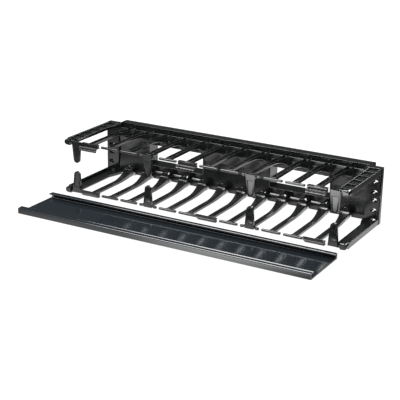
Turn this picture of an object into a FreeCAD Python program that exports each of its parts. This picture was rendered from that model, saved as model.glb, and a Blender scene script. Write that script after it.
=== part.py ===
# Two-unit horizontal cable manager for a 19 inch rack, with its clip-on cover.
# Millimetres. X runs along the rack width, +Y points into the rack, +Z is up.
# The origin is the centre of the plane that lies against the rack rails.
# Levels named "in" are counted in from the outer envelope of a comb half.
import FreeCAD, Part
import math
import os

V = FreeCAD.Vector

# ---- driving dimensions -------------------------------------------------
width = 482.6            # over the flanges
height = 88.1            # two rack units less clearance
flange_reach = 19.8      # flange beyond the body that passes between the rails
box_back = 18.5          # body behind the rail plane
flange_t = 7.0           # rails to the front of the flange
flange_rim = 3.4         # raised rim along the flange's outer edge
flange_rim_t = 11.0      # rails to the front of that rim
seam_notch = 1.2         # nick in the rim at the seam between the halves
slot_inset = 8.75        # slot columns in from the ends
rail_hole_z = (6.35, 22.225, 38.1)
slot_w = 9.6
slot_h = 6.4
head_room = 12.0         # in front of the flange for the lowest screw's head
head_half = 6.0

wall_front = 6.5         # rails to the front of the wall
wall_t = 2.5
rear_in = 0.6            # rear plate, in from the envelope
rear_t = 2.4
pocket_back = 1.5        # face that closes the hollow of the bend bar

bar_r = 8.0              # bar that cords bend over, along the foot of the wall
bar_y = 1.5              # its centre
bar_in = 8.5
bar_t = 2.2
bar_lip = 6.2            # lower edge of its lip
ramp_top = 38.0          # where the closed wall's slope ends

pass_in = 60.0           # pass-through windows, nearer end
pass_out = 160.0         # and farther end, from the middle
pass_level = 27.0        # window sill
duct_t = 2.2             # walls round each window
duct_front = 7.6         # their front edge
rib_t = 2.0              # ribs of the hollow body
rib_from_window = 30.0   # beside the windows, either side
side_t = 2.5             # side walls of the body
foot_t = 2.6             # thickened lower edge of the flange

pitch = 35.0             # finger to finger
finger_w = 8.7           # outer side of a finger
finger_w2 = 7.7          # inner side, narrower by the draft
finger_out = 1.4         # outer face
finger_in = 6.1          # inner face
root_w = 17.5            # finger where it meets the wall, inner and outer side
root_w2 = 9.3
root_out = 4.2
root_in = 19.2
finger_corner = 0.9
root_corner = 7.6
corner_steps = 3         # facets round a finger's corner
bar_steps = 4            # facets round the bend bar
core_wall = 1.4          # finger's side walls; its outer side is hollow
core_web = 1.8

tip_y = 130.0            # front of the finger tips
tee_d = 4.6              # tee bar, front to back
tee_h = 3.5
tee_len = 31.0
tee_in = 2.6
tee_end = 6.5            # stubs beside the retaining tabs

end_w = 19.3             # outermost fingers
end_h = 9.5
end_wall = 3.2
end_rim = 1.5
end_rim_in = 5.4
end_plate_in = 3.0
end_plate_t = 1.6
end_y = 122.0            # front of the outer wall
rung_in = 0.6
rung_pitch = 22.0
rung_t = 1.5

tab_inset = 21.8         # outer retaining tabs in from the ends
tab_finger = 3           # inner ones, on the third fingers out from the middle
tab_in = 37.0            # reach of a tab
tab_w0 = 15.0
tab_w1 = 11.0
tab_t0 = 5.0             # thickness at the foot and at the tip
tab_t1 = 3.4
tab_rim = 2.2            # border of the dished front
tab_dish = 0.9

bead_r = 1.5             # bead along each lip of the cover
bead_e = 8.25            # bead in from the cover's edge
bead_h = 8.3             # bead above the cover's outer face
hinge_y = 138.0          # seat of the bead in the clips
clip_len = 31.0
clip_r = 4.0
clip_gap = 0.3
clip_wall = 1.4
clip_lo = -60.0          # the clip's arc, in degrees from the back
clip_hi = 78.0
clip_steps = 8
groove = 0.6             # grooves round the barrel: depth, width, place
groove_w = 1.0
groove_x = 5.0

cover_w = 88.0
cover_t = 2.0
lip_t = 1.6
lip_lean = 0.5           # the lips bow out by this at mid height
cover_rear = 162.5       # rear edge of the cover where it lies

half = height / 2.0
hx = width / 2.0
bx = hx - flange_reach
rail_hole_x = hx - slot_inset
tab_x = hx - tab_inset
# as many fingers a side as stand clear of the outer tabs
per_side = int((tab_x - (tab_w0 + tee_len) / 2.0) / pitch + 0.5)
n_fingers = 2 * per_side
overlap = 0.5            # how far fused shapes run into each other


def at(e):
    """Height of a level e in from the lower face of the envelope."""
    return -half + e


def box(x0, x1, y0, y1, z0, z1):
    return Part.makeBox(x1 - x0, y1 - y0, z1 - z0, V(x0, y0, z0))


def prism(points, run):
    """Closed outline of 3-D points, extruded by a vector."""
    return Part.Face(Part.makePolygon(points + points[:1])).extrude(run)


def prism_x(pts, x0, x1):
    return prism([V(x0, y, z) for y, z in pts], V(x1 - x0, 0, 0))


def prism_y(pts, y0, y1):
    return prism([V(x, y0, z) for x, z in pts], V(0, y1 - y0, 0))


def prism_z(pts, z0, z1):
    return prism([V(x, y, z0) for x, y in pts], V(0, 0, z1 - z0))


def arc(cy, cz, r, a0, a1, n):
    """Points on an arc in the (y, z) plane, angles in degrees."""
    turn = [math.radians(a0 + (a1 - a0) * i / n) for i in range(n + 1)]
    return [(cy + r * math.cos(t), cz + r * math.sin(t)) for t in turn]


def both_sides(shapes):
    """The shapes and their mirror images on the -X side."""
    return shapes + [s.mirror(V(0, 0, 0), V(1, 0, 0)) for s in shapes]


# ---- fingers --------------------------------------------------------------
def along(share):
    """A finger's section at a share of the way from its stem to its root."""
    stem = (finger_w, finger_w2, finger_out, finger_in, finger_corner)
    root = (root_w2, root_w, root_out, root_in, root_corner)
    return [a + (b - a) * share for a, b in zip(stem, root)]


def section(y, w_out, w_in, e_out, e_in, r):
    """Flaring section whose inner side has two rounded corners."""
    h = w_in / 2.0
    turn = [0.5 * math.pi * i / corner_steps for i in range(corner_steps + 1)]
    right = [V(h - r + r * math.cos(t), y, at(e_in) - r + r * math.sin(t))
             for t in turn]
    left = [V(-v.x, y, v.z) for v in reversed(right)]
    pts = [V(-w_out / 2.0, y, at(e_out)), V(w_out / 2.0, y, at(e_out))]
    pts += right + left
    return Part.makePolygon(pts + pts[:1])


def core_section(y, w_out, w_in, e_out, e_in, r):
    """Hollow of a finger, open on its outer side."""
    a = w_out / 2.0 - core_wall
    b = w_in / 2.0 - core_wall - 0.3 * r
    top = at(e_in) - core_web - 0.15 * r
    pts = [V(-a, y, at(e_out) - 2.0), V(a, y, at(e_out) - 2.0),
           V(b, y, top), V(-b, y, top)]
    return Part.makePolygon(pts + pts[:1])


# distance from the rail plane, and share of the way up to the root
finger_steps = ((62.0, 0.0), (50.0, 0.10), (40.0, 0.30), (31.0, 0.58),
                (23.0, 0.83), (15.0, 0.97), (8.0, 1.0))


def finger():
    first = tip_y - 0.5 * tee_d
    stations = ((first, 0.0),) + finger_steps
    wires = [section(-y, *along(s)) for y, s in stations]
    wires.append(section(-wall_front + overlap, *along(1.0)))
    return Part.makeLoft(wires, True, True)


def finger_core():
    first = tip_y - tee_d - 2.0
    stations = ((first, 0.0),) + finger_steps[:-1]
    wires = [core_section(-y, *along(s)) for y, s in stations]
    wires.append(core_section(-wall_front, *along(1.0)))
    return Part.makeLoft(wires, True, True)


def root_ribs():
    """The finger's side walls, carried on across the hollow of the bar."""
    out = []
    for s in (-1, 1):
        a = s * root_w2 / 2.0
        b = s * (root_w2 / 2.0 - core_wall)
        out.append(box(min(a, b), max(a, b), -wall_front - 4.0,
                       pocket_back + overlap, at(root_out), at(bar_in + 6.0)))
    return out


def tee(x0, x1):
    """Stretch of tee bar with rounded ends."""
    y0, y1 = -tip_y, -tip_y + tee_d
    r = 0.45 * tee_d
    turn = [0.5 * math.pi * i / corner_steps for i in range(corner_steps + 1)]
    quarter = [(r - r * math.sin(t), r - r * math.cos(t)) for t in turn]
    pts = [(x0 + a, y0 + b) for a, b in quarter]
    pts += [(x0 + a, y1 - b) for a, b in reversed(quarter)]
    pts += [(x1 - a, y1 - b) for a, b in quarter]
    pts += [(x1 - a, y0 + b) for a, b in reversed(quarter)]
    return prism_z(pts, at(tee_in), at(tee_in + tee_h))


def tab():
    """Tongue that reaches in from a finger tip, thinner and dished towards its end."""
    z0, z1 = at(tee_in), at(tab_in)
    r = tab_w1 / 2.0
    a, b = tab_w0 / 2.0, tab_w1 / 2.0
    n = 6
    arch = [(r * math.cos(math.pi * i / n), z1 - r + r * math.sin(math.pi * i / n))
            for i in range(n + 1)]
    y0 = -tip_y
    blade = prism_y([(-a, z0), (a, z0)] + arch, y0, y0 + tab_t0)
    lean = (tab_t0 - tab_t1) / (z1 - z0)
    front = prism_x([(y0 - 1.0, z0), (y0, z0), (y0 + lean * (z1 - z0 + 2.0), z1 + 2.0),
                     (y0 - 1.0, z1 + 2.0)], -a - 1.0, a + 1.0)
    k = (r - tab_rim) / r
    dish = [(-a + tab_rim, z0 + 9.0), (a - tab_rim, z0 + 9.0)]
    dish += [(x * k, z1 - r + (z - z1 + r) * k) for x, z in arch]
    dish = prism_y(dish, y0 - 1.0, y0 + tab_dish)
    dish.rotate(V(0, y0, z0), V(1, 0, 0), -math.degrees(math.atan(lean)))
    return blade.cut(front).cut(dish)


def tab_foot():
    """Forked foot of an inner tab: two arms, each with a stub of tee bar."""
    out = []
    for s in (-1, 1):
        a = tee_len / 2.0
        out.append(tee(*sorted((s * (a - tee_end), s * a))))
        arm = [(s * (a - tee_end + 1.5), at(tee_in + 0.4)),
               (s * (a - tee_end + 1.5), at(tee_in + 2.6)),
               (s * (tab_w0 / 2.0 - 1.0), at(tee_in + 7.0)),
               (s * (tab_w0 / 2.0 - 3.0), at(tee_in + 4.0))]
        out.append(prism_y(arm, -tip_y + 0.8, -tip_y + tee_d - 0.6))
    return out


# ---- end fingers ------------------------------------------------------------
def end_finger():
    """Outermost finger on the +X side: a channel with rungs on its outer side."""
    x0, x1 = hx - end_w, hx
    y0, y1 = -end_y, -flange_t + overlap
    s = [box(x1 - end_wall, x1, y0, y1, at(0), at(end_h)),
         box(x0, x0 + end_rim, y0 + 2.0, y1, at(rung_in), at(end_rim_in)),
         box(x0, x1, y0 + 0.5, y1, at(end_plate_in), at(end_plate_in + end_plate_t))]
    y = -flange_t - 1.0
    while y > -end_y:
        s.append(box(x0, x1, y - rung_t, y, at(rung_in),
                     at(end_plate_in + overlap)))
        y -= rung_pitch
    # rounded nose at the front of the outer wall
    nose = prism_z([(x1, y0 + 1.0), (x1, y0 - 0.5), (x1 - 1.0, y0 - 3.4),
                    (x1 - 3.2, y0 - 5.8), (x1 - 6.0, y0 - 6.6),
                    (x1 - 7.6, y0 - 5.6), (x1 - 7.0, y0 - 3.6),
                    (x1 - 5.0, y0 - 1.6), (x1 - 4.6, y0 + 1.0)],
                   at(0), at(end_h - 0.8))
    s.append(nose)
    # strap from the nose to the foot of the tab
    ta = tab_x + tab_w0 / 2.0
    s.append(prism_z([(x1 - 6.5, y0 - 6.4), (x1 - 6.5, y0 - 3.2), (ta, y0 - 1.8),
                      (ta - 3.0, y0 - 1.8), (ta - 3.0, y0 - 5.4), (ta, y0 - 5.4)],
                     at(1.2), at(5.0)))
    s.append(prism_z([(x0, y0 + 3.0), (x0 + 10.0, y0 + 3.0), (ta - 1.0, y0 - 4.0),
                      (ta - 5.0, y0 - 4.0)],
                     at(end_plate_in), at(end_plate_in + end_plate_t)))
    # heel that blends the inner rim into the wall
    s.append(prism_z([(x0 + overlap, y1), (x0 - 6.5, y1), (x0 - 5.5, -wall_front - 9.0),
                      (x0 - 1.5, -wall_front - 22.0), (x0 + overlap, -36.0)],
                     at(rung_in), at(end_rim_in)))
    return s


def flange():
    """Lower half of the +X flange: a plate, its rim and the box's side wall."""
    x1 = hx
    s = [box(bx - side_t, x1, -flange_t, 0, at(0), 0),
         box(x1 - flange_rim, x1, -flange_rim_t, -flange_t + overlap, at(0), 0),
         box(bx - side_t, x1, -flange_rim_t, -flange_t + overlap, at(0), at(foot_t)),
         box(bx - side_t, bx, -flange_t, box_back, at(rear_in), 0)]
    nick = box(x1 - seam_notch, x1 + 1.0, -flange_rim_t - 1.0, 1.0, -seam_notch, 1.0)
    return [p.cut(nick) for p in s]


# ---- comb half ---------------------------------------------------------------
def bar_outline():
    """Section of the hollow bar, in (y, z)."""
    c = (-bar_y, at(bar_in))
    reach = bar_y - wall_front          # how far the wall stands before the centre
    outer_end = 180.0 - math.degrees(math.acos(-reach / bar_r))
    inner_r = bar_r - bar_t
    inner_end = 180.0 - math.degrees(math.acos((wall_front - wall_t - bar_y) / inner_r))
    pts = [(c[0] - bar_r, at(bar_lip))]
    pts += arc(c[0], c[1], bar_r, 180.0, outer_end, bar_steps)
    pts += [(-wall_front, at(bar_in + bar_r)), (pocket_back, at(bar_in + bar_r)),
            (pocket_back, at(bar_in + bar_r - bar_t))]
    pts += arc(c[0], c[1], inner_r, inner_end, 180.0, bar_steps - 1)
    pts.append((c[0] - inner_r, at(bar_lip)))
    return pts


def comb():
    """Lower half: wall, bend bar, fingers, tabs and half of each flange."""
    wf, wb = -wall_front, -wall_front + wall_t
    s = [box(-bx, bx, wf, wb, at(bar_in + bar_r - bar_t), 0),
         prism_x(bar_outline(), -bx, bx),
         box(-bx, bx, pocket_back, box_back, at(rear_in), at(rear_in + rear_t)),
         box(-bx, bx, pocket_back, pocket_back + bar_t, at(rear_in),
             at(bar_in + bar_r))]
    s += both_sides(flange())
    for x in (pass_in - rib_from_window, pass_out + rib_from_window):
        s += both_sides([box(x, x + rib_t, wb - overlap, box_back - 2.0,
                             at(rear_in + 1.0), 0)])
    # slope of the closed stretches
    nose = -bar_y - bar_r + 0.4
    slope = [(wb, at(bar_in + 2.0)), (nose, at(bar_in + 2.0)), (wf, at(ramp_top)),
             (wb, at(ramp_top))]
    a, b = pass_in - duct_t, pass_out + duct_t
    for x0, x1 in ((-bx, -b), (-a, a), (b, bx)):
        s.append(prism_x(slope, x0, x1))
    # walls round the windows
    s += both_sides([box(a, b, -duct_front, box_back, at(pass_level - duct_t), 0)])
    # fingers
    cuts = []
    f, core, ribs = finger(), finger_core(), root_ribs()
    w = root_w2 / 2.0 - core_wall
    gap = box(-w, w, wf - overlap, pocket_back, at(0), at(bar_in + 5.0))
    t = tee(-tee_len / 2.0, tee_len / 2.0)
    foot = tab_foot()
    for i in range(n_fingers):
        x = V((i - (n_fingers - 1) / 2.0) * pitch, 0, 0)
        s += [p.translated(x) for p in [f] + ribs]
        if i in (per_side - tab_finger, per_side + tab_finger - 1):
            s += [p.translated(x) for p in [tab()] + foot]
        else:
            s.append(t.translated(x))
        cuts += [core.translated(x), gap.translated(x)]
    s += both_sides(end_finger() + [tab().translated(V(tab_x, 0, 0))])
    body = s[0].multiFuse(s[1:])
    # windows and rail slots
    r = slot_h / 2.0
    d = slot_w / 2.0 - r
    for sx in (-1, 1):
        x0, x1 = sorted((sx * pass_in, sx * pass_out))
        cuts.append(box(x0, x1, -duct_front - 3.0, box_back + 1.0, at(pass_level), 1.0))
        c = sx * rail_hole_x
        for z in rail_hole_z:
            cuts.append(box(c - d, c + d, -flange_t - 1.0, 1.0, -z - r, -z + r))
            for q in (c - d, c + d):
                cuts.append(Part.makeCylinder(r, flange_t + 2.0,
                                              V(q, -flange_t - 1.0, -z), V(0, 1, 0)))
        # room for the head of the lowest rail screw
        x0, x1 = sorted((sx * (rail_hole_x - head_half), sx * (hx - flange_rim)))
        cuts.append(box(x0, x1, -flange_t - head_room, -flange_t, at(-1.0),
                        at(end_plate_in + end_plate_t + 1.0)))
    return body.cut(Part.makeCompound(cuts)).removeSplitter()


# ---- clips and cover ----------------------------------------------------------
def clip():
    """Hinge clip: an open barrel on a channel that grips the tee bar."""
    cy, cz = -hinge_y, at(bead_e)
    inner_r = bead_r + clip_gap
    x0, x1 = -clip_len / 2, clip_len / 2
    ring = arc(cy, cz, clip_r, clip_lo, clip_hi, clip_steps)
    ring += arc(cy, cz, inner_r, clip_hi, clip_lo, clip_steps // 2)
    y0, y1 = -tip_y - clip_wall, -tip_y + tee_d
    z0, z1 = at(tee_in) - clip_wall, at(tee_in + tee_h) + clip_wall
    grip = box(x0, x1, y0, y1, z0, z1)
    grip = grip.cut(box(x0 - 1, x1 + 1, -tip_y, y1 + 1, at(tee_in), at(tee_in + tee_h)))
    arm = box(x0, x1, cy + inner_r + 1.0, y0 + overlap, cz - 2.2, z1)
    s = prism_x(ring, x0, x1).multiFuse([grip, arm])
    # opening in the back for the finger
    w = finger_w / 2.0 + 0.3
    s = s.cut(box(-w, w, -tip_y, y1 + 1, z0 - 1, z1 + 1))
    # two grooves round the barrel
    top = cz + clip_r
    for x in (x0 + groove_x, x1 - groove_x - groove_w):
        s = s.cut(box(x, x + groove_w, cy, y0 - 0.6, top - groove, top + 1.0))
    return s.removeSplitter()


def lip(y, k):
    """One rolled lip of the cover, from its edge at y; k is the way in."""
    z0 = at(0)
    top = z0 + bead_h + lip_t / 2.0
    mid = (z0 + top) / 2.0
    outline = [(y + k * 1.2, z0), (y + k * (0.5 - lip_lean), z0 + 0.9),
               (y, mid), (y + k * 0.35, top - 0.9), (y + k * 1.3, top),
               (y + k * bead_e, top), (y + k * bead_e, top - lip_t),
               (y + k * (lip_t + 0.8), top - lip_t), (y + k * lip_t, mid),
               (y + k * (lip_t + 0.6), z0 + cover_t), (y + k * (lip_t + 0.6), z0)]
    bead = Part.makeCylinder(bead_r, width, V(-hx, y + k * bead_e, z0 + bead_h),
                             V(1, 0, 0))
    return [prism_x(outline, -hx, hx), bead]


def cover():
    """Cover as it lies, inner side up: plate, two lips and their beads."""
    ya, yb = -cover_rear - cover_w, -cover_rear
    s = box(-hx, hx, ya + lip_t, yb - lip_t, at(0), at(cover_t))
    return s.multiFuse(lip(ya, 1) + lip(yb, -1)).removeSplitter()


lower = comb()
parts = {"lower_comb": lower,
         "upper_comb": lower.rotated(V(0, 0, 0), V(0, 1, 0), 180),
         "cover": cover()}
one = clip()
# the outermost fingers and the first to the right of the middle
for i, side in ((0, "left"), (per_side, "middle"), (n_fingers - 1, "right")):
    c = one.translated(V((i - (n_fingers - 1) / 2.0) * pitch, 0, 0))
    parts["lower_clip_" + side] = c
    other = {"left": "right", "right": "left"}.get(side, side)
    parts["upper_clip_" + other] = c.rotated(V(0, 0, 0), V(0, 1, 0), 180)

os.makedirs("parts", exist_ok=True)
for name, shape in parts.items():
    solid = shape.Solids[0] if len(shape.Solids) == 1 else shape
    solid.exportStep(os.path.join("parts", name + ".step"))
    n = len(solid.tessellate(0.1)[1])
    print(name, solid.ShapeType, len(shape.Solids), solid.isValid(),
          round(solid.Volume / 1000.0, 2), "cm3", n, "triangles")
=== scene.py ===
"""Looks of a two-unit horizontal cable manager and its cover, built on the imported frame.

Lengths in the tables below are millimetres, in the frame's own axes: X along the width,
+Y into the rack, +Z up. Levels named "in" are counted in from a comb half's outer envelope.
"""
import math

import bmesh
import bpy
from mathutils import Matrix, Vector


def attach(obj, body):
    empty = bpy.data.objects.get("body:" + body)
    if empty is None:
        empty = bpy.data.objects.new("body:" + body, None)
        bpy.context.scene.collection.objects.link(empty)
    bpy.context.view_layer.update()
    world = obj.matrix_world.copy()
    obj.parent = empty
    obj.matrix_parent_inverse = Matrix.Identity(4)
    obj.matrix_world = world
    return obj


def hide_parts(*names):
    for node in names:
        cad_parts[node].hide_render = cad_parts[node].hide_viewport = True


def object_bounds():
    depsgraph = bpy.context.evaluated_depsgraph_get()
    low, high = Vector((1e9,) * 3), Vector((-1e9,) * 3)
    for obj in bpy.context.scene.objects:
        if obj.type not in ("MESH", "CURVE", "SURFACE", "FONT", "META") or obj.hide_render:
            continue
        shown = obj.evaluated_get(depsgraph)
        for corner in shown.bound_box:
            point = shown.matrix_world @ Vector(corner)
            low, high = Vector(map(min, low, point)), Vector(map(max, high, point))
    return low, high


MM = 0.001

# ---- sizes of the comb halves ------------------------------------------------
HALF = 44.05
HALF_WIDTH = 241.3
BOX = 221.5
BOX_BACK = 18.5
WALL_FRONT, WALL_BACK = -6.5, -4.0
FLANGE_FRONT, PAD_FRONT, RIM_FRONT, RIM = -7.0, -10.4, -11.0, 3.4
RAIL_SLOTS = (6.35, 22.225, 38.1)
RAIL_X, SLOT_W, SLOT_H, SLOT_BACK = 232.55, 9.6, 6.4, 0.8
BAR_R, BAR_Y, BAR_IN, BAR_T, BAR_LIP = 8.0, -1.5, 11.2, 2.2, 6.0
RAMP_TOP = 38.0
PASS_NEAR, PASS_FAR, PASS_LEVEL = 60.0, 160.0, 27.0
DUCT, DUCT_FRONT = 2.2, -7.6
POCKET_BACK = 1.5
REAR_IN, REAR_T = 0.6, 2.4

PITCH, FINGERS = 35.0, 12
TABBED = (3, 8)
TIP, TEE_D, TEE_H, TEE_LEN, TEE_IN, TEE_END = -130.0, 4.6, 3.5, 31.0, 2.6, 6.5

END_W, END_H, END_WALL, END_RIM, END_RIM_IN = 19.3, 9.5, 3.2, 1.5, 5.4
END_PLATE, END_PLATE_T, END_FRONT = 3.0, 1.6, -122.0
KNOB_W, KNOB_D, KNOB_R = 10.0, 9.0, 4.6
KNOB_STEPS = ((0.0, 1.6), (0.5, 0.7), (1.4, 0.15), (2.6, 0.0))  # depth behind its front, inset
END_DRAFT = 0.3
RUNG_IN, RUNG_PITCH, RUNG_T = 0.6, 22.0, 1.5
FLANGE_LAP = 2.5         # the flange plate reaches this far inwards over the box's side
REAR_RIBS, RIB_T = (30.0, 190.0), 2.0

TAB_X, TAB_IN, TAB_W0, TAB_W1, TAB_T0, TAB_T1 = 219.5, 37.0, 15.0, 11.0, 5.0, 3.4
DISH_EDGE, DISH_FLOOR = (2.2, 9.0), (2.8, 9.8)   # inset from the rim, height of its foot

SHARP_ANGLE = 50.0       # degrees: edges sharper than this stay sharp in the shading
FLAT_WEIGHT = 80         # how far the flat faces lead the weighted normals


def level(e):
    """Height of a level e in from the lower face of the envelope."""
    return -HALF + e


# ---- mesh helpers --------------------------------------------------------------
class Shells:
    """Closed shells gathered into one mesh, each with its own rounded edges."""

    def __init__(self):
        self.verts = []
        self.faces = []

    def add(self, bm, edge=0.0, angle=28.0, segments=2):
        """Rounds the shell's edges sharper than angle to a width edge, and takes it in."""
        if edge:
            sharp = [e for e in bm.edges
                     if e.is_manifold and e.calc_face_angle() > math.radians(angle)]
            bmesh.ops.bevel(bm, geom=sharp, offset=edge, segments=segments,
                            profile=0.5, affect="EDGES", clamp_overlap=True)
        bmesh.ops.recalc_face_normals(bm, faces=bm.faces)
        first = len(self.verts)
        bm.verts.index_update()
        self.verts += [tuple(v.co) for v in bm.verts]
        self.faces += [tuple(first + v.index for v in f.verts) for f in bm.faces]
        bm.free()

    def mirrored(self):
        """The same shells with X turned round."""
        out = Shells()
        out.verts = [(-x, y, z) for x, y, z in self.verts]
        out.faces = [tuple(reversed(f)) for f in self.faces]
        return out

    def take(self, other, shift=(0, 0, 0)):
        """Takes in a copy of other shells, moved by shift."""
        first = len(self.verts)
        dx, dy, dz = shift
        self.verts += [(x + dx, y + dy, z + dz) for x, y, z in other.verts]
        self.faces += [tuple(first + i for i in f) for f in other.faces]

    def mesh(self, name):
        m = bpy.data.meshes.new(name)
        m.from_pydata([(x * MM, y * MM, z * MM) for x, y, z in self.verts], [], self.faces)
        m.shade_smooth()
        m.set_sharp_from_angle(angle=math.radians(SHARP_ANGLE))
        return m


def prism(points, run):
    """Closed outline of 3-D points carried along a vector."""
    bm = bmesh.new()
    a = [bm.verts.new(p) for p in points]
    b = [bm.verts.new(Vector(p) + Vector(run)) for p in points]
    bm.faces.new(a)
    bm.faces.new(list(reversed(b)))
    n = len(points)
    for i in range(n):
        bm.faces.new((a[i], b[i], b[(i + 1) % n], a[(i + 1) % n]))
    bmesh.ops.recalc_face_normals(bm, faces=bm.faces)
    return bm


def prism_x(pts, x0, x1):
    return prism([(x0, y, z) for y, z in pts], (x1 - x0, 0, 0))


def prism_y(pts, y0, y1):
    return prism([(x, y0, z) for x, z in pts], (0, y1 - y0, 0))


def prism_z(pts, z0, z1):
    return prism([(x, y, z0) for x, y in pts], (0, 0, z1 - z0))


def block(x0, x1, y0, y1, z0, z1):
    return prism_z([(x0, y0), (x1, y0), (x1, y1), (x0, y1)], z0, z1)


def loft(sections):
    """Skin through sections of equal point counts, closed at both ends."""
    bm = bmesh.new()
    rings = [[bm.verts.new(p) for p in s] for s in sections]
    n = len(rings[0])
    for a, b in zip(rings, rings[1:]):
        for i in range(n):
            bm.faces.new((a[i], b[i], b[(i + 1) % n], a[(i + 1) % n]))
    bm.faces.new(rings[0])
    bm.faces.new(list(reversed(rings[-1])))
    bmesh.ops.recalc_face_normals(bm, faces=bm.faces)
    return bm


def arc(cx, cy, r, a0, a1, n):
    turn = [math.radians(a0 + (a1 - a0) * i / n) for i in range(n + 1)]
    return [(cx + r * math.cos(t), cy + r * math.sin(t)) for t in turn]


# ---- fingers --------------------------------------------------------------------
STEM_OUT, STEM_W = 1.4, 8.6
SHOULDER = 1.8
HEAD_TOP, HEAD_R, HEAD_RIM = 23.0, 8.75, 1.4
ROOT_OUT, ROOT_W = 4.2, 9.3
CORE_WALL, CORE_WEB, CORE_H, CORE_LIFT = 1.4, 1.8, 9.0, 1.5
SIDE_STEPS, SIDE_CROWD, SWELL_H = 10, 1.6, 7.0
# distance from the rails, level of the inner face, share of the flare
RAMP = ((62.0, 6.1, 0.0), (50.0, 7.2, 0.08), (40.0, 9.4, 0.28), (32.0, 11.8, 0.58),
        (27.0, 13.6, 0.80), (24.0, 15.0, 0.94), (22.2, 16.6, 1.0), (21.6, 19.0, 1.0),
        (21.4, 21.6, 1.0), (20.8, 22.7, 1.0), (19.8, 23.0, 1.0), (16.0, 23.0, 1.0))
# distances from the rails at which the finger's skin has a section
STEM_STATIONS = (110.0, 90.0, 74.0)
RAMP_STATIONS = tuple(64.0 - 2.0 * i for i in range(20))
HEAD_STATIONS = (25.0, 24.0, 23.1, 22.5, 22.0, 21.7, 21.5, 21.3, 21.1, 20.8, 20.4, 19.8, 15.0)


def ramp(y, col):
    """Column of the ramp table at a distance y from the rails, smoothly between rows."""
    if y >= RAMP[0][0]:
        return RAMP[0][col]
    if y <= RAMP[-1][0]:
        return RAMP[-1][col]
    i = next(k for k in range(len(RAMP) - 1) if RAMP[k + 1][0] <= y)
    p = [RAMP[max(0, min(len(RAMP) - 1, k))] for k in (i - 1, i, i + 1, i + 2)]
    h = p[1][0] - p[2][0]
    t = (p[1][0] - y) / h

    def slope(a, b):
        return (b[col] - a[col]) / (a[0] - b[0])
    m0, m1 = slope(p[0], p[2]), slope(p[1], p[3])
    if i == 0:
        m0 = 0.0
    if i >= len(RAMP) - 3:
        m0 = m1 = slope(p[1], p[2])
    return ((1 + 2 * t) * (1 - t) ** 2 * p[1][col] + t * (1 - t) ** 2 * h * m0
            + t * t * (3 - 2 * t) * p[2][col] + t * t * (t - 1) * h * m1)


def finger_section(y):
    """Section under the ramp: waisted sides, an arched head, and a hollow below."""
    share = ramp(y, 2)
    e1 = ramp(y, 1)
    e0 = STEM_OUT + (ROOT_OUT - STEM_OUT) * share
    foot = (STEM_W + (ROOT_W - STEM_W) * share) / 2.0
    head = HEAD_R - max(0.0, min(HEAD_RIM, HEAD_TOP - e1))
    wide = STEM_W / 2.0 + (head - STEM_W / 2.0) * share
    centre = HEAD_TOP - HEAD_R
    side = []
    for k in range(SIDE_STEPS + 1):
        e = e0 + (e1 - e0) * (1.0 - (1.0 - k / SIDE_STEPS) ** SIDE_CROWD)
        rise = min(1.0, (e - e0) / SWELL_H)
        x = foot + (wide - foot) * rise * rise * (3 - 2 * rise)
        if e > centre:
            x *= math.sqrt(max(0.0, 1.0 - ((e - centre) / head) ** 2))
        over = (e - e1) / SHOULDER + 1.0
        if over > 0.0:
            x -= SHOULDER * (1.0 - share) * (1.0 - math.sqrt(max(0.0, 1.0 - over * over)))
        side.append((max(x, 0.5), level(e)))
    outer = side + [(-x, z) for x, z in reversed(side)]
    a = foot - CORE_WALL
    top = level(min(e1, e0 + CORE_H) - CORE_WEB - CORE_LIFT * share)
    inner = [(-a, level(e0)), (-a, top), (a, top), (a, level(e0))]
    return [(x, -y, z) for x, z in outer + inner]


def finger():
    """One hollow finger from its tee bar to the wall, without the bar."""
    out = Shells()
    ys = [-TIP - TEE_D - 0.5, *STEM_STATIONS, *RAMP_STATIONS, *HEAD_STATIONS,
          -WALL_FRONT - 0.5]
    out.add(loft([finger_section(y) for y in ys]), 0.55, 38.0, 3)
    # end web behind the tee bar, and the walls carried on over the bar's hollow
    web = [(x, z) for x, _, z in finger_section(-TIP)][:-4]
    out.add(prism_y(web, TIP + TEE_D + 0.4, TIP + TEE_D - 1.2), 0.3, 40.0)
    w = ROOT_W / 2.0
    for s in (-1, 1):
        x0, x1 = sorted((s * w, s * (w - CORE_WALL)))
        out.add(block(x0, x1, WALL_FRONT - 4.0, POCKET_BACK + 0.5,
                      level(ROOT_OUT), level(BAR_IN + 4.0)), 0.3)
    return out


def tee(x0, x1):
    """Tee bar with rounded ends."""
    y0, y1 = TIP, TIP + TEE_D
    r = 0.45 * TEE_D
    pts = arc(x0 + r, y0 + r, r, 270, 180, 5) + arc(x0 + r, y1 - r, r, 180, 90, 5)
    pts += arc(x1 - r, y1 - r, r, 90, 0, 5) + arc(x1 - r, y0 + r, r, 360, 270, 5)
    return prism_z(pts, level(TEE_IN), level(TEE_IN + TEE_H))


def tee_bar():
    """Tee bar of a finger that carries no tab."""
    out = Shells()
    out.add(tee(-TEE_LEN / 2, TEE_LEN / 2), 1.2, 40.0, 3)
    # boss where the finger meets the bar
    out.add(prism_z([(-4.6, TIP + TEE_D - 1.0), (4.6, TIP + TEE_D - 1.0),
                     (3.6, TIP + TEE_D + 2.6), (-3.6, TIP + TEE_D + 2.6)],
                    level(TEE_IN - 0.4), level(TEE_IN + TEE_H + 0.3)), 0.5)
    return out


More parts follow.
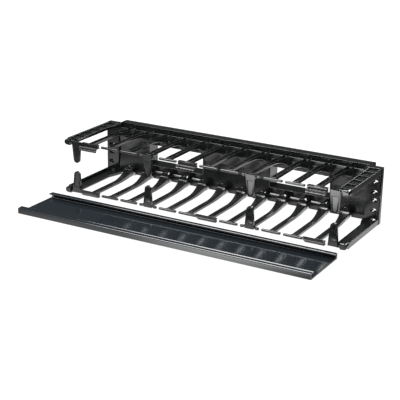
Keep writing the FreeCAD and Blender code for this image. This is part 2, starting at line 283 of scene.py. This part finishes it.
def tab():
    """Tongue that leans back towards its tip, with a dished front."""
    out = Shells()
    z0, z1 = level(TEE_IN), level(TAB_IN)
    r = TAB_W1 / 2.0
    a = TAB_W0 / 2.0
    lean = (TAB_T0 - TAB_T1) / (z1 - z0)

    def outline(inset, foot):
        k = (r - inset) / r
        arch = [(x * k, z1 - r + (z - z1 + r) * k) for x, z in arc(0, z1 - r, r, 0, 180, 14)]
        return [(-a + inset, foot), (a - inset, foot)] + arch

    def front(z):
        return TIP + lean * (z - z0)
    rim, dish, floor = (outline(inset, z0 + foot)
                        for inset, foot in ((0.0, 0.0), DISH_EDGE, DISH_FLOOR))
    bm = bmesh.new()
    back = [bm.verts.new((x, TIP + TAB_T0, z)) for x, z in rim]
    edge = [bm.verts.new((x, front(z), z)) for x, z in rim]
    lip = [bm.verts.new((x, front(z), z)) for x, z in dish]
    sunk = [bm.verts.new((x, TIP + TAB_T0 - TAB_T1 + 0.3, z)) for x, z in floor]
    n = len(rim)
    for p, q in ((back, edge), (edge, lip), (lip, sunk)):
        for i in range(n):
            bm.faces.new((p[i], q[i], q[(i + 1) % n], p[(i + 1) % n]))
    bm.faces.new(back)
    bm.faces.new(list(reversed(sunk)))
    bmesh.ops.recalc_face_normals(bm, faces=bm.faces)
    out.add(bm, 0.6, 35.0, 3)
    return out


def tab_foot():
    """Two arms and their stubs of tee bar, beside an inner tab."""
    out = Shells()
    a = TEE_LEN / 2.0
    for s in (-1, 1):
        out.add(tee(*sorted((s * (a - TEE_END), s * a))), 0.8, 40.0, 3)
        arm = [(s * (a - TEE_END + 1.5), level(TEE_IN + 0.4)),
               (s * (a - TEE_END + 1.5), level(TEE_IN + 2.6)),
               (s * (TAB_W0 / 2.0 - 1.0), level(TEE_IN + 7.0)),
               (s * (TAB_W0 / 2.0 - 3.0), level(TEE_IN + 4.0))]
        out.add(prism_y(arm, TIP + 0.8, TIP + TEE_D - 0.6), 0.5)
    return out


# ---- the fixed structure -----------------------------------------------------------
def bar_section():
    """Section of the bend bar: a thick arc from its lip round to the wall."""
    c = (BAR_Y, level(BAR_IN))
    r = BAR_R - BAR_T
    outer_end = 180.0 - math.degrees(math.acos((BAR_Y - WALL_FRONT) / BAR_R))
    inner_end = 180.0 - math.degrees(math.acos((BAR_Y - WALL_BACK) / r))
    pts = [(c[0] - BAR_R, level(BAR_LIP))] + arc(*c, BAR_R, 180.0, outer_end, 12)
    pts += [(WALL_FRONT, level(BAR_IN + BAR_R)), (POCKET_BACK, level(BAR_IN + BAR_R)),
            (POCKET_BACK, level(BAR_IN + BAR_R - BAR_T))]
    pts += arc(*c, r, inner_end, 180.0, 8)
    pts.append((c[0] - r, level(BAR_LIP)))
    return pts


def slotted_flange():
    """Flange plate with its three rail slots, as a flat sheet given its thickness."""
    bm = bmesh.new()
    x0, x1 = BOX - FLANGE_LAP, HALF_WIDTH
    rows = sorted(-z for z in RAIL_SLOTS)
    cuts = [level(0)] + [(a + b) / 2 for a, b in zip(rows, rows[1:])] + [0.0]
    r, d = SLOT_H / 2.0, SLOT_W / 2.0 - SLOT_H / 2.0
    mouths = []
    for z, lo, hi in zip(rows, cuts, cuts[1:]):
        ring = arc(RAIL_X + d, z, r, -90, 90, 10) + arc(RAIL_X - d, z, r, 90, 270, 10)
        frame = []
        for x, zz in ring:
            # carry each point of the slot out to the border of its cell
            dx, dz = x - RAIL_X, zz - z
            k = min(((x1 if dx > 0 else x0) - RAIL_X) / dx if abs(dx) > 1e-9 else 1e9,
                    ((hi if dz > 0 else lo) - z) / dz if abs(dz) > 1e-9 else 1e9)
            frame.append((RAIL_X + dx * k, z + dz * k))
        k = SLOT_BACK
        inner = [bm.verts.new((RAIL_X + (x - RAIL_X) * k, 0, z + (zz - z) * k))
                 for x, zz in ring]
        mouths += [(v, x, zz) for v, (x, zz) in zip(inner, ring)]
        outer = [bm.verts.new((x, 0, zz)) for x, zz in frame]
        n = len(ring)
        for i in range(n):
            bm.faces.new((inner[i], outer[i], outer[(i + 1) % n], inner[(i + 1) % n]))
        for cx in (x0, x1):
            for cz in (lo, hi):
                # the two border points nearest to this corner of the cell
                i, j = sorted(range(n), key=lambda i: abs(frame[i][0] - cx)
                              + abs(frame[i][1] - cz))[:2]
                if abs(i - j) in (1, n - 1):
                    c = bm.verts.new((cx, 0, cz))
                    bm.faces.new((outer[i], outer[j], c))
    places = {(v.co.x, v.co.z): (x, z) for v, x, z in mouths}
    bmesh.ops.remove_doubles(bm, verts=bm.verts, dist=0.001)
    bmesh.ops.recalc_face_normals(bm, faces=bm.faces)
    top = bmesh.ops.extrude_face_region(bm, geom=bm.faces[:])
    for v in top["geom"]:
        if isinstance(v, bmesh.types.BMVert):
            v.co.y = PAD_FRONT
            # the slots widen towards the front
            for x, z in places:
                if abs(v.co.x - x) < 1e-3 and abs(v.co.z - z) < 1e-3:
                    v.co.x, v.co.z = places[(x, z)]
                    break
    bmesh.ops.recalc_face_normals(bm, faces=bm.faces)
    return bm


def flange():
    """Right flange of a lower half, with the rim on its outer edge."""
    out = Shells()
    x1 = HALF_WIDTH
    out.add(slotted_flange(), 0.35, 60.0)
    out.add(block(x1 - RIM, x1, RIM_FRONT, FLANGE_FRONT + 0.5, level(0), -1.2), 0.7, 28, 3)
    out.add(block(BOX - FLANGE_LAP, x1 - 1.0, RIM_FRONT, FLANGE_FRONT + 0.5, level(0),
                  level(2.6)), 0.5)
    out.add(block(BOX - FLANGE_LAP, BOX, FLANGE_FRONT, BOX_BACK, level(REAR_IN), 0), 0.3)
    return out


def end_finger():
    """Outermost finger: a channel with rungs on its outer side and a rounded nose."""
    out = Shells()
    x0, x1 = HALF_WIDTH - END_W, HALF_WIDTH
    y0, y1 = END_FRONT, FLANGE_FRONT + 0.5
    # the outer wall leans out a little towards the seam
    out.add(prism_y([(x1 - END_WALL, level(0)), (x1 - END_DRAFT, level(0)),
                     (x1, level(END_H)), (x1 - END_WALL, level(END_H))], y0, y1), 0.6, 28, 3)
    out.add(block(x0, x0 + END_RIM, y0 + 2.0, y1, level(RUNG_IN), level(END_RIM_IN)),
            0.5, 28, 3)
    out.add(block(x0, x1 - 1.0, y0 + 0.5, y1, level(END_PLATE),
                  level(END_PLATE + END_PLATE_T)))
    y = FLANGE_FRONT - 1.0
    while y > END_FRONT:
        out.add(block(x0 + 0.3, x1 - 1.0, y - RUNG_T, y, level(RUNG_IN),
                      level(END_PLATE + 0.5)), 0.25)
        y -= RUNG_PITCH
    # knob: its front closes in through a few insets, and its outer corners are rounded
    xi, yf, r = x1 - KNOB_W, y0 - KNOB_D, KNOB_R
    rings = []
    for back, inset in KNOB_STEPS + ((KNOB_D + 1.0, 0.0),):
        k = r - 0.4 * inset
        ring = [(xi, level(0) + inset), (xi, level(END_H) - inset)]
        ring += arc(x1 - r, level(END_H) - inset - k, k - inset * 0.6, 90, 0, 6)
        ring += arc(x1 - r, level(0) + inset + k, k - inset * 0.6, 0, -90, 6)
        rings.append([(x, yf + back, z) for x, z in ring])
    out.add(loft(rings), 0.4, 50)
    # strap from the knob to the outer tab, the web behind it, and the heel at the wall
    ta = TAB_X + TAB_W0 / 2.0
    out.add(prism_z([(x1 - 6.5, y0 - 6.4), (x1 - 6.5, y0 - 3.2), (ta, y0 - 1.8),
                     (ta - 3.0, y0 - 1.8), (ta - 3.0, y0 - 5.4), (ta, y0 - 5.4)],
                    level(1.2), level(5.0)), 0.6, 28, 3)
    out.add(prism_z([(x0, y0 + 3.0), (x0 + 10.0, y0 + 3.0), (ta - 1.0, y0 - 4.0),
                     (ta - 5.0, y0 - 4.0)],
                    level(END_PLATE), level(END_PLATE + END_PLATE_T)), 0.3)
    out.add(prism_z([(x0 + 0.5, y1), (x0 - 6.5, y1), (x0 - 5.5, WALL_FRONT - 9.0),
                     (x0 - 1.5, WALL_FRONT - 22.0), (x0 + 0.5, -36.0)],
                    level(RUNG_IN), level(END_RIM_IN)), 0.5)
    return out


def structure():
    """Wall, bend bar, windows, rear body, flanges, end fingers and tabs of a lower half."""
    out = Shells()
    near, far = PASS_NEAR - DUCT, PASS_FAR + DUCT
    foot = level(BAR_IN + BAR_R - BAR_T)
    for x0, x1 in ((-BOX, -far + 1.0), (-near - 1.0, near + 1.0), (far - 1.0, BOX)):
        out.add(block(x0, x1, WALL_FRONT, WALL_BACK, foot, 0))
        slope = [(WALL_BACK, level(BAR_IN + 2.0)), (BAR_Y - BAR_R + 0.4, level(BAR_IN + 2.0)),
                 (WALL_FRONT, level(RAMP_TOP)), (WALL_BACK, level(RAMP_TOP))]
        out.add(prism_x(slope, x0, x1))
    for x0, x1 in ((-far, -near), (near, far)):
        out.add(block(x0, x1, WALL_FRONT, WALL_BACK, foot, level(PASS_LEVEL - DUCT)))
        out.add(block(x0, x1, DUCT_FRONT, BOX_BACK, level(PASS_LEVEL - DUCT),
                      level(PASS_LEVEL)), 0.4)
    for s in (-1, 1):
        for a, b in ((near, PASS_NEAR), (PASS_FAR, far)):
            x0, x1 = sorted((s * a, s * b))
            out.add(block(x0, x1, DUCT_FRONT, BOX_BACK, level(PASS_LEVEL - DUCT), 0), 0.3)
        for x in REAR_RIBS:
            x0, x1 = sorted((s * x, s * (x + RIB_T)))
            out.add(block(x0, x1, WALL_BACK - 0.5, BOX_BACK - 2.0, level(REAR_IN + 1.0), 0))
    out.add(prism_x(bar_section(), -BOX, BOX), 0.35, 40)
    out.add(block(-BOX, BOX, POCKET_BACK, BOX_BACK, level(REAR_IN),
                  level(REAR_IN + REAR_T)), 0.4)
    out.add(block(-BOX, BOX, POCKET_BACK, POCKET_BACK + BAR_T, level(REAR_IN),
                  level(BAR_IN + BAR_R)), 0.3)
    side = Shells()
    side.take(flange())
    side.take(end_finger())
    side.take(tab(), (TAB_X, 0, 0))
    out.take(side)
    out.take(side.mirrored())
    return out


# ---- clips and cover ------------------------------------------------------------------
HINGE_Y, BEAD_IN, BEAD_R = -138.0, 8.25, 1.5
CLIP_LEN, CLIP_R, CLIP_WALL = 31.0, 4.0, 1.4
CLIP_ARC = (-60.0, 78.0)
CLIP_FINGERS = (1, 7, 12)
CLIP_GAP, GROOVE_X, GROOVE_W, GROOVE = 0.3, 5.0, 1.0, 0.6


def clip():
    """Hinge clip: an open barrel on a channel that grips the tee bar."""
    out = Shells()
    cy, cz = HINGE_Y, level(BEAD_IN)
    inner = BEAD_R + CLIP_GAP
    x0, x1 = -CLIP_LEN / 2, CLIP_LEN / 2
    # the barrel is cut by two fine grooves
    near, far = GROOVE_X, GROOVE_X + GROOVE_W
    stops = (x0, x0 + near, x0 + far, x1 - far, x1 - near, x1)
    for k, (a, b) in enumerate(zip(stops, stops[1:])):
        r = CLIP_R - (GROOVE if k % 2 else 0.0)
        ring = arc(cy, cz, r, *CLIP_ARC, 20) + arc(cy, cz, inner, *reversed(CLIP_ARC), 12)
        out.add(prism_x(ring, a, b), 0.0 if k % 2 else 0.35, 40)
    y0, y1 = TIP - CLIP_WALL, TIP + TEE_D
    z0, z1 = level(TEE_IN) - CLIP_WALL, level(TEE_IN + TEE_H) + CLIP_WALL
    out.add(block(x0, x1, y0, TIP, z0, z1), 0.4)
    w = STEM_W / 2.0 + 0.3
    for a, b in ((x0, -w), (w, x1)):
        out.add(block(a, b, y0, y1, level(TEE_IN + TEE_H), z1), 0.4)
        out.add(block(a, b, y0, y1, z0, level(TEE_IN)), 0.4)
    out.add(block(x0, x1, cy + inner + 1.0, y0 + 0.5, cz - 2.2, z1), 0.4)
    return out


COVER_W, COVER_T, COVER_REAR, LIP_T, LIP_LEAN = 88.0, 2.0, -162.5, 1.6, 0.5
BEAD_H = 8.3
REAR_FOOT, FRONT_FOOT = 3.6, 1.1     # how far each lip's inner side slants out at its foot


def cover():
    """Plate, two rolled lips and their beads, as one section run along X."""
    z0 = level(0)
    top = z0 + BEAD_H + LIP_T / 2.0
    mid = (z0 + top) / 2.0

    def lip(y, k, foot):
        """Outline of one lip from its edge at y; k is the way in."""
        bead = arc(k * (y + k * BEAD_IN), z0 + BEAD_H, BEAD_R, 148, -148, 14)
        bead = [(k * a, b) for a, b in bead]
        return ([(y + k * 2.4, z0), (y + k * 1.2, z0), (y + k * 0.35, z0 + 0.4),
                 (y + k * (0.5 - LIP_LEAN), z0 + 1.2), (y, mid), (y + k * 0.12, top - 1.6),
                 (y + k * 0.5, top - 0.6), (y + k * 1.3, top)] + bead
                + [(y + k * (LIP_T + 1.0), top - LIP_T),
                   (y + k * (LIP_T + 0.3), top - LIP_T - 0.6),
                   (y + k * (LIP_T + foot * 0.35), mid + 0.6),
                   (y + k * (LIP_T + foot), z0 + COVER_T)])
    rear = lip(COVER_REAR, -1, REAR_FOOT)
    front = lip(COVER_REAR - COVER_W, 1, FRONT_FOOT)
    out = Shells()
    out.add(prism_x(rear + list(reversed(front)), -HALF_WIDTH, HALF_WIDTH), 0.0)
    return out


# ---- geometry nodes: what repeats --------------------------------------------------------
def repeat_tree():
    """Sets copies of one object in a row, leaving out up to two places."""
    g = bpy.data.node_groups.new("row_of_copies", "GeometryNodeTree")
    face = g.interface
    face.new_socket("Geometry", in_out="INPUT", socket_type="NodeSocketGeometry")
    for label, kind in (("Master", "Object"), ("Count", "Int"), ("Start", "Vector"),
                        ("Step", "Vector"), ("Skip one", "Int"), ("Skip two", "Int"),
                        ("Material", "Material")):
        face.new_socket(label, in_out="INPUT", socket_type="NodeSocket" + kind)
    face.new_socket("Geometry", in_out="OUTPUT", socket_type="NodeSocketGeometry")
    n, link = g.nodes, g.links.new
    given = n.new("NodeGroupInput")
    out = n.new("NodeGroupOutput")
    line = n.new("GeometryNodeMeshLine")
    link(given.outputs["Count"], line.inputs["Count"])
    link(given.outputs["Start"], line.inputs["Start Location"])
    link(given.outputs["Step"], line.inputs["Offset"])
    index = n.new("GeometryNodeInputIndex")
    keep = []
    for name in ("Skip one", "Skip two"):
        differ = n.new("FunctionNodeCompare")
        differ.data_type = "INT"
        differ.operation = "NOT_EQUAL"
        ints = [s for s in differ.inputs if s.type == "INT"]
        link(index.outputs["Index"], ints[0])
        link(given.outputs[name], ints[1])
        keep.append(differ)
    both = n.new("FunctionNodeBooleanMath")
    both.operation = "AND"
    link(keep[0].outputs["Result"], both.inputs[0])
    link(keep[1].outputs["Result"], both.inputs[1])
    master = n.new("GeometryNodeObjectInfo")
    link(given.outputs["Master"], master.inputs["Object"])
    place = n.new("GeometryNodeInstanceOnPoints")
    link(line.outputs["Mesh"], place.inputs["Points"])
    link(both.outputs["Boolean"], place.inputs["Selection"])
    link(master.outputs["Geometry"], place.inputs["Instance"])
    real = n.new("GeometryNodeRealizeInstances")
    link(place.outputs["Instances"], real.inputs["Geometry"])
    paint = n.new("GeometryNodeSetMaterial")
    link(real.outputs["Geometry"], paint.inputs["Geometry"])
    link(given.outputs["Material"], paint.inputs["Material"])
    link(paint.outputs["Geometry"], out.inputs["Geometry"])
    return g


def row_of(tree, name, shells, count, start, step, material, skip=(-1, -1)):
    """A row of copies of one shape, made real as a mesh in metres."""
    master = bpy.data.objects.new(name + "_master", shells.mesh(name + "_master"))
    bpy.context.collection.objects.link(master)
    host = bpy.data.objects.new(name, bpy.data.meshes.new(name))
    bpy.context.collection.objects.link(host)
    mod = host.modifiers.new("row", "NODES")
    mod.node_group = tree
    given = {"Master": master, "Count": count, "Start": Vector(start) * MM,
             "Step": Vector(step) * MM, "Skip one": skip[0], "Skip two": skip[1],
             "Material": material}
    for item in tree.interface.items_tree:
        if item.in_out == "INPUT" and item.name in given:
            mod[item.identifier] = given[item.name]
    host.update_tag()
    graph = bpy.context.evaluated_depsgraph_get()
    mesh = bpy.data.meshes.new_from_object(host.evaluated_get(graph))
    for o in (host, master):
        bpy.data.objects.remove(o)
    return mesh


# ---- materials ------------------------------------------------------------------------------
BROAD_SCALE, FINE_SCALE, GRAIN_DETAIL = 26.0, 140.0, 3.0
GRAIN_HEIGHT = 0.0003
# name: colour, roughness, its spread, strength of the grain
PLASTICS = {"comb_satin": ((0.0075, 0.0085, 0.0080), 0.15, 0.08, 0.10),
            "cover_gloss": ((0.007, 0.009, 0.011), 0.10, 0.04, 0.05),
            "clip_black": ((0.012, 0.012, 0.012), 0.16, 0.08, 0.10)}


def grain_group():
    """Moulded plastic's faint unevenness: a roughness and a height for bump."""
    g = bpy.data.node_groups.new("moulded_grain", "ShaderNodeTree")
    g.interface.new_socket("Roughness", in_out="INPUT", socket_type="NodeSocketFloat")
    g.interface.new_socket("Spread", in_out="INPUT", socket_type="NodeSocketFloat")
    g.interface.new_socket("Roughness", in_out="OUTPUT", socket_type="NodeSocketFloat")
    g.interface.new_socket("Height", in_out="OUTPUT", socket_type="NodeSocketFloat")
    n, link = g.nodes, g.links.new
    given = n.new("NodeGroupInput")
    out = n.new("NodeGroupOutput")
    co = n.new("ShaderNodeTexCoord")

    def noise(scale):
        node = n.new("ShaderNodeTexNoise")
        node.inputs["Scale"].default_value = scale
        node.inputs["Detail"].default_value = GRAIN_DETAIL
        link(co.outputs["Object"], node.inputs["Vector"])
        return node.outputs["Fac"]
    broad, fine = noise(BROAD_SCALE), noise(FINE_SCALE)
    centred = n.new("ShaderNodeMath")
    centred.operation = "SUBTRACT"
    centred.inputs[1].default_value = 0.5
    link(broad, centred.inputs[0])
    spread = n.new("ShaderNodeMath")
    spread.operation = "MULTIPLY_ADD"
    link(centred.outputs[0], spread.inputs[0])
    link(given.outputs["Spread"], spread.inputs[1])
    link(given.outputs["Roughness"], spread.inputs[2])
    link(spread.outputs[0], out.inputs["Roughness"])
    link(fine, out.inputs["Height"])
    return g


def plastic(name, group, colour, roughness, spread, bump):
    m = bpy.data.materials.new(name)
    m.use_nodes = True
    n, link = m.node_tree.nodes, m.node_tree.links.new
    p = n["Principled BSDF"]
    p.inputs["Base Color"].default_value = (*colour, 1.0)
    grain = n.new("ShaderNodeGroup")
    grain.node_tree = group
    grain.inputs["Roughness"].default_value = roughness
    grain.inputs["Spread"].default_value = spread
    link(grain.outputs["Roughness"], p.inputs["Roughness"])
    b = n.new("ShaderNodeBump")
    b.inputs["Strength"].default_value = bump
    b.inputs["Distance"].default_value = GRAIN_HEIGHT
    link(grain.outputs["Height"], b.inputs["Height"])
    link(b.outputs["Normal"], p.inputs["Normal"])
    return m


# ---- putting the object together -----------------------------------------------------------
def join(name, meshes, turn, material):
    """One object from several meshes, turned as a whole, with flat faces shaded flat."""
    bm = bmesh.new()
    for m in meshes:
        bm.from_mesh(m)
    bmesh.ops.transform(bm, matrix=turn, verts=bm.verts)
    mesh = bpy.data.meshes.new(name)
    bm.to_mesh(mesh)
    bm.free()
    mesh.materials.clear()
    mesh.materials.append(material)
    mesh.shade_smooth()
    mesh.set_sharp_from_angle(angle=math.radians(SHARP_ANGLE))
    o = bpy.data.objects.new(name, mesh)
    bpy.context.collection.objects.link(o)
    weigh = o.modifiers.new("weigh", "WEIGHTED_NORMAL")
    weigh.keep_sharp = True
    weigh.weight = FLAT_WEIGHT
    graph = bpy.context.evaluated_depsgraph_get()
    done = bpy.data.meshes.new_from_object(o.evaluated_get(graph))
    o.modifiers.clear()
    o.data = done
    return o


def comb_meshes(tree, material):
    """Meshes that together make one lower half."""
    first = -(FINGERS - 1) / 2.0 * PITCH
    row = dict(start=(first, 0, 0), step=(PITCH, 0, 0), material=material)
    meshes = [structure().mesh("structure"),
              row_of(tree, "fingers", finger(), FINGERS, **row),
              row_of(tree, "tee_bars", tee_bar(), FINGERS, skip=TABBED, **row)]
    inner = Shells()
    inner.take(tab())
    inner.take(tab_foot())
    gap = (TABBED[1] - TABBED[0]) * PITCH
    meshes.append(row_of(tree, "inner_tabs", inner, 2, (first + TABBED[0] * PITCH, 0, 0),
                         (gap, 0, 0), material))
    return meshes


def dress(satin, gloss, clip_black):
    """Makes the nine pieces and hands each to the frame in place of its solid."""
    tree = repeat_tree()
    half_turn = Matrix.Rotation(math.pi, 4, "Y")
    still = Matrix.Identity(4)
    meshes = comb_meshes(tree, satin)
    for level_name, turn in (("lower", still), ("upper", half_turn)):
        o = join(level_name + "_comb_half", meshes, turn, satin)
        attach(o, "frame")
        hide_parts(level_name + "_comb")
    one = clip()
    for i, side in zip(CLIP_FINGERS, ("left", "middle", "right")):
        placed = Shells()
        placed.take(one, ((i - (FINGERS + 1) / 2.0) * PITCH, 0, 0))
        mesh = placed.mesh("clip")
        other = {"left": "right", "right": "left"}.get(side, side)
        for level_name, turn, where in (("lower", still, side), ("upper", half_turn, other)):
            o = join("%s_%s_hinge_clip" % (level_name, where), [mesh], turn, clip_black)
            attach(o, "frame")
            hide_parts("%s_clip_%s" % (level_name, where))
    o = join("lipped_cover", [cover().mesh("cover")], still, gloss)
    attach(o, "cover")
    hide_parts("cover")


# ---- studio --------------------------------------------------------------------------------
LIGHT_AIM = (0, -0.08, 0)
# name: place, size, watts
LIGHTS = {"overhead": ((-0.45, -0.02, 1.25), (2.2, 0.8), 75),
          "front": ((-0.75, -1.15, 0.90), (1.0, 0.5), 6),
          "key": ((0.75, -0.85, 0.95), (0.5, 0.5), 9),
          "behind": ((0.30, 1.25, 0.85), (0.8, 0.3), 8)}
FLOOR_REACH, FLOOR_DROP, FLOOR_GREY = 6.0, 0.0002, 0.05
# centre on the floor, radius of the bright middle, radius where it ends, brightness
POOLS = (((0.09, -0.40), 0.05, 0.22, 8.0), ((-0.02, -0.05), 0.22, 0.44, 1.5))
# height in a direction, from 0 straight down to 1 straight up, and brightness there
ROOM_STOPS = ((0.40, 0.12), (0.54, 0.04), (0.72, 0.05), (0.85, 0.10), (1.0, 0.12))
ROOM_EVEN = (0.35, 0.35, 0.36)
CAMERA_TURN = (29.46, 19.32, 0.85)   # azimuth, elevation and roll, in degrees
CAMERA_TARGET = (-44.95, -40.0, -47.92)
CAMERA_AWAY, CAMERA_SENSOR, CAMERA_LENS = 1.7748, 36.0, 100.99
CAMERA_SHIFT, CAMERA_CLIP = (-0.00095, -0.0007), (0.05, 50)


def softbox(name, place, size, watts):
    d = bpy.data.lights.new(name, "AREA")
    d.shape = "RECTANGLE"
    d.size, d.size_y = size
    d.energy = watts
    o = bpy.data.objects.new(name, d)
    bpy.context.collection.objects.link(o)
    o.location = place
    aim = Vector(LIGHT_AIM) - Vector(place)
    o.rotation_euler = aim.to_track_quat("-Z", "Y").to_euler()


def white_floor(base):
    """Pure white to the camera, hardly lit by the lamps, with bright pools in reflections."""
    mesh = bpy.data.meshes.new("floor")
    r = FLOOR_REACH
    mesh.from_pydata([(-r, -r, base), (r, -r, base), (r, r, base), (-r, r, base)],
                     [], [(0, 1, 2, 3)])
    floor = bpy.data.objects.new("floor", mesh)
    bpy.context.collection.objects.link(floor)
    m = bpy.data.materials.new("white_floor")
    m.use_nodes = True
    n, link = m.node_tree.nodes, m.node_tree.links.new
    p = n["Principled BSDF"]
    p.inputs["Base Color"].default_value = (FLOOR_GREY, FLOOR_GREY, FLOOR_GREY, 1)
    p.inputs["Roughness"].default_value = 1.0
    p.inputs["Specular IOR Level"].default_value = 0.0
    path = n.new("ShaderNodeLightPath")
    where = n.new("ShaderNodeNewGeometry")

    def pool(centre, near, far, bright):
        """Brightness that fades between two distances from a point of the table."""
        away = n.new("ShaderNodeVectorMath")
        away.operation = "DISTANCE"
        away.inputs[1].default_value = (centre[0], centre[1], base)
        link(where.outputs["Position"], away.inputs[0])
        fade = n.new("ShaderNodeMapRange")
        fade.interpolation_type = "SMOOTHSTEP"
        for label, value in (("From Min", near), ("From Max", far), ("To Min", bright),
                             ("To Max", 0.0)):
            fade.inputs[label].default_value = value
        link(away.outputs["Value"], fade.inputs["Value"])
        return fade.outputs["Result"]

    def combine(operation, a, b):
        node = n.new("ShaderNodeMath")
        node.operation = operation
        link(a, node.inputs[0])
        link(b, node.inputs[1])
        return node.outputs[0]
    # a reflection sees a bright pool in front of the right half on a dimmer table
    lit = combine("ADD", *(pool(*given) for given in POOLS))
    lit = combine("MULTIPLY", lit, path.outputs["Is Glossy Ray"])
    p.inputs["Emission Color"].default_value = (1, 1, 1, 1)
    link(combine("ADD", lit, path.outputs["Is Camera Ray"]), p.inputs["Emission Strength"])
    floor.data.materials.append(m)


def surroundings():
    """White to the camera, a dim room to a reflection, and even grey to all else."""
    w = bpy.data.worlds.new("studio")
    bpy.context.scene.world = w
    w.use_nodes = True
    n, link = w.node_tree.nodes, w.node_tree.links.new
    n.clear()
    out = n.new("ShaderNodeOutputWorld")
    co = n.new("ShaderNodeTexCoord")
    axes = n.new("ShaderNodeSeparateXYZ")
    link(co.outputs["Generated"], axes.inputs[0])
    span = n.new("ShaderNodeMapRange")
    span.inputs["From Min"].default_value = -1.0
    span.inputs["From Max"].default_value = 1.0
    link(axes.outputs["Z"], span.inputs["Value"])
    ramp = n.new("ShaderNodeValToRGB")
    while len(ramp.color_ramp.elements) < len(ROOM_STOPS):
        ramp.color_ramp.elements.new(0.5)
    for e, (place, value) in zip(ramp.color_ramp.elements, ROOM_STOPS):
        e.position = place
        e.color = (value, value, value, 1)
    link(span.outputs["Result"], ramp.inputs["Fac"])
    room = n.new("ShaderNodeBackground")
    link(ramp.outputs["Color"], room.inputs["Color"])
    even = n.new("ShaderNodeBackground")
    even.inputs["Color"].default_value = (*ROOM_EVEN, 1)
    white = n.new("ShaderNodeBackground")
    white.inputs["Color"].default_value = (1, 1, 1, 1)
    path = n.new("ShaderNodeLightPath")
    lit = n.new("ShaderNodeMixShader")
    link(path.outputs["Is Glossy Ray"], lit.inputs["Fac"])
    link(even.outputs[0], lit.inputs[1])
    link(room.outputs[0], lit.inputs[2])
    mix = n.new("ShaderNodeMixShader")
    link(path.outputs["Is Camera Ray"], mix.inputs["Fac"])
    link(lit.outputs[0], mix.inputs[1])
    link(white.outputs[0], mix.inputs[2])
    link(mix.outputs[0], out.inputs["Surface"])


def camera():
    azimuth, elevation, roll = (math.radians(a) for a in CAMERA_TURN)
    away = Vector((math.sin(azimuth) * math.cos(elevation),
                   -math.cos(azimuth) * math.cos(elevation), math.sin(elevation)))
    target = Vector(CAMERA_TARGET) * MM
    right = Vector((math.cos(azimuth), math.sin(azimuth), 0))
    up = away.cross(right)
    x = right * math.cos(roll) + up * math.sin(roll)
    y = up * math.cos(roll) - right * math.sin(roll)
    d = bpy.data.cameras.new("camera")
    d.sensor_width = CAMERA_SENSOR
    d.lens = CAMERA_LENS
    d.shift_x, d.shift_y = CAMERA_SHIFT
    d.clip_start, d.clip_end = CAMERA_CLIP
    o = bpy.data.objects.new("camera", d)
    bpy.context.collection.objects.link(o)
    turn = Matrix((x, y, away)).transposed().to_4x4()
    o.matrix_world = Matrix.Translation(target + away * CAMERA_AWAY) @ turn
    bpy.context.scene.camera = o


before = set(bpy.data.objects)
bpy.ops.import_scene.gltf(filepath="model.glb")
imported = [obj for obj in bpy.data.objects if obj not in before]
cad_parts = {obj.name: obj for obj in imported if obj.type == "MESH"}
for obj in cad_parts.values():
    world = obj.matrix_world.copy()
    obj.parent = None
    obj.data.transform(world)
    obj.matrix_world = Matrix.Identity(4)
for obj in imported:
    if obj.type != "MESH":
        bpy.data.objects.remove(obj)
cad_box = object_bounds()
bpy.context.scene.view_settings.view_transform = "Standard"
grain = grain_group()
dress(*(plastic(name, grain, *looks) for name, looks in PLASTICS.items()))
white_floor(cad_box[0][2] - FLOOR_DROP)
surroundings()
for lamp, given in LIGHTS.items():
    softbox(lamp, *given)
camera()
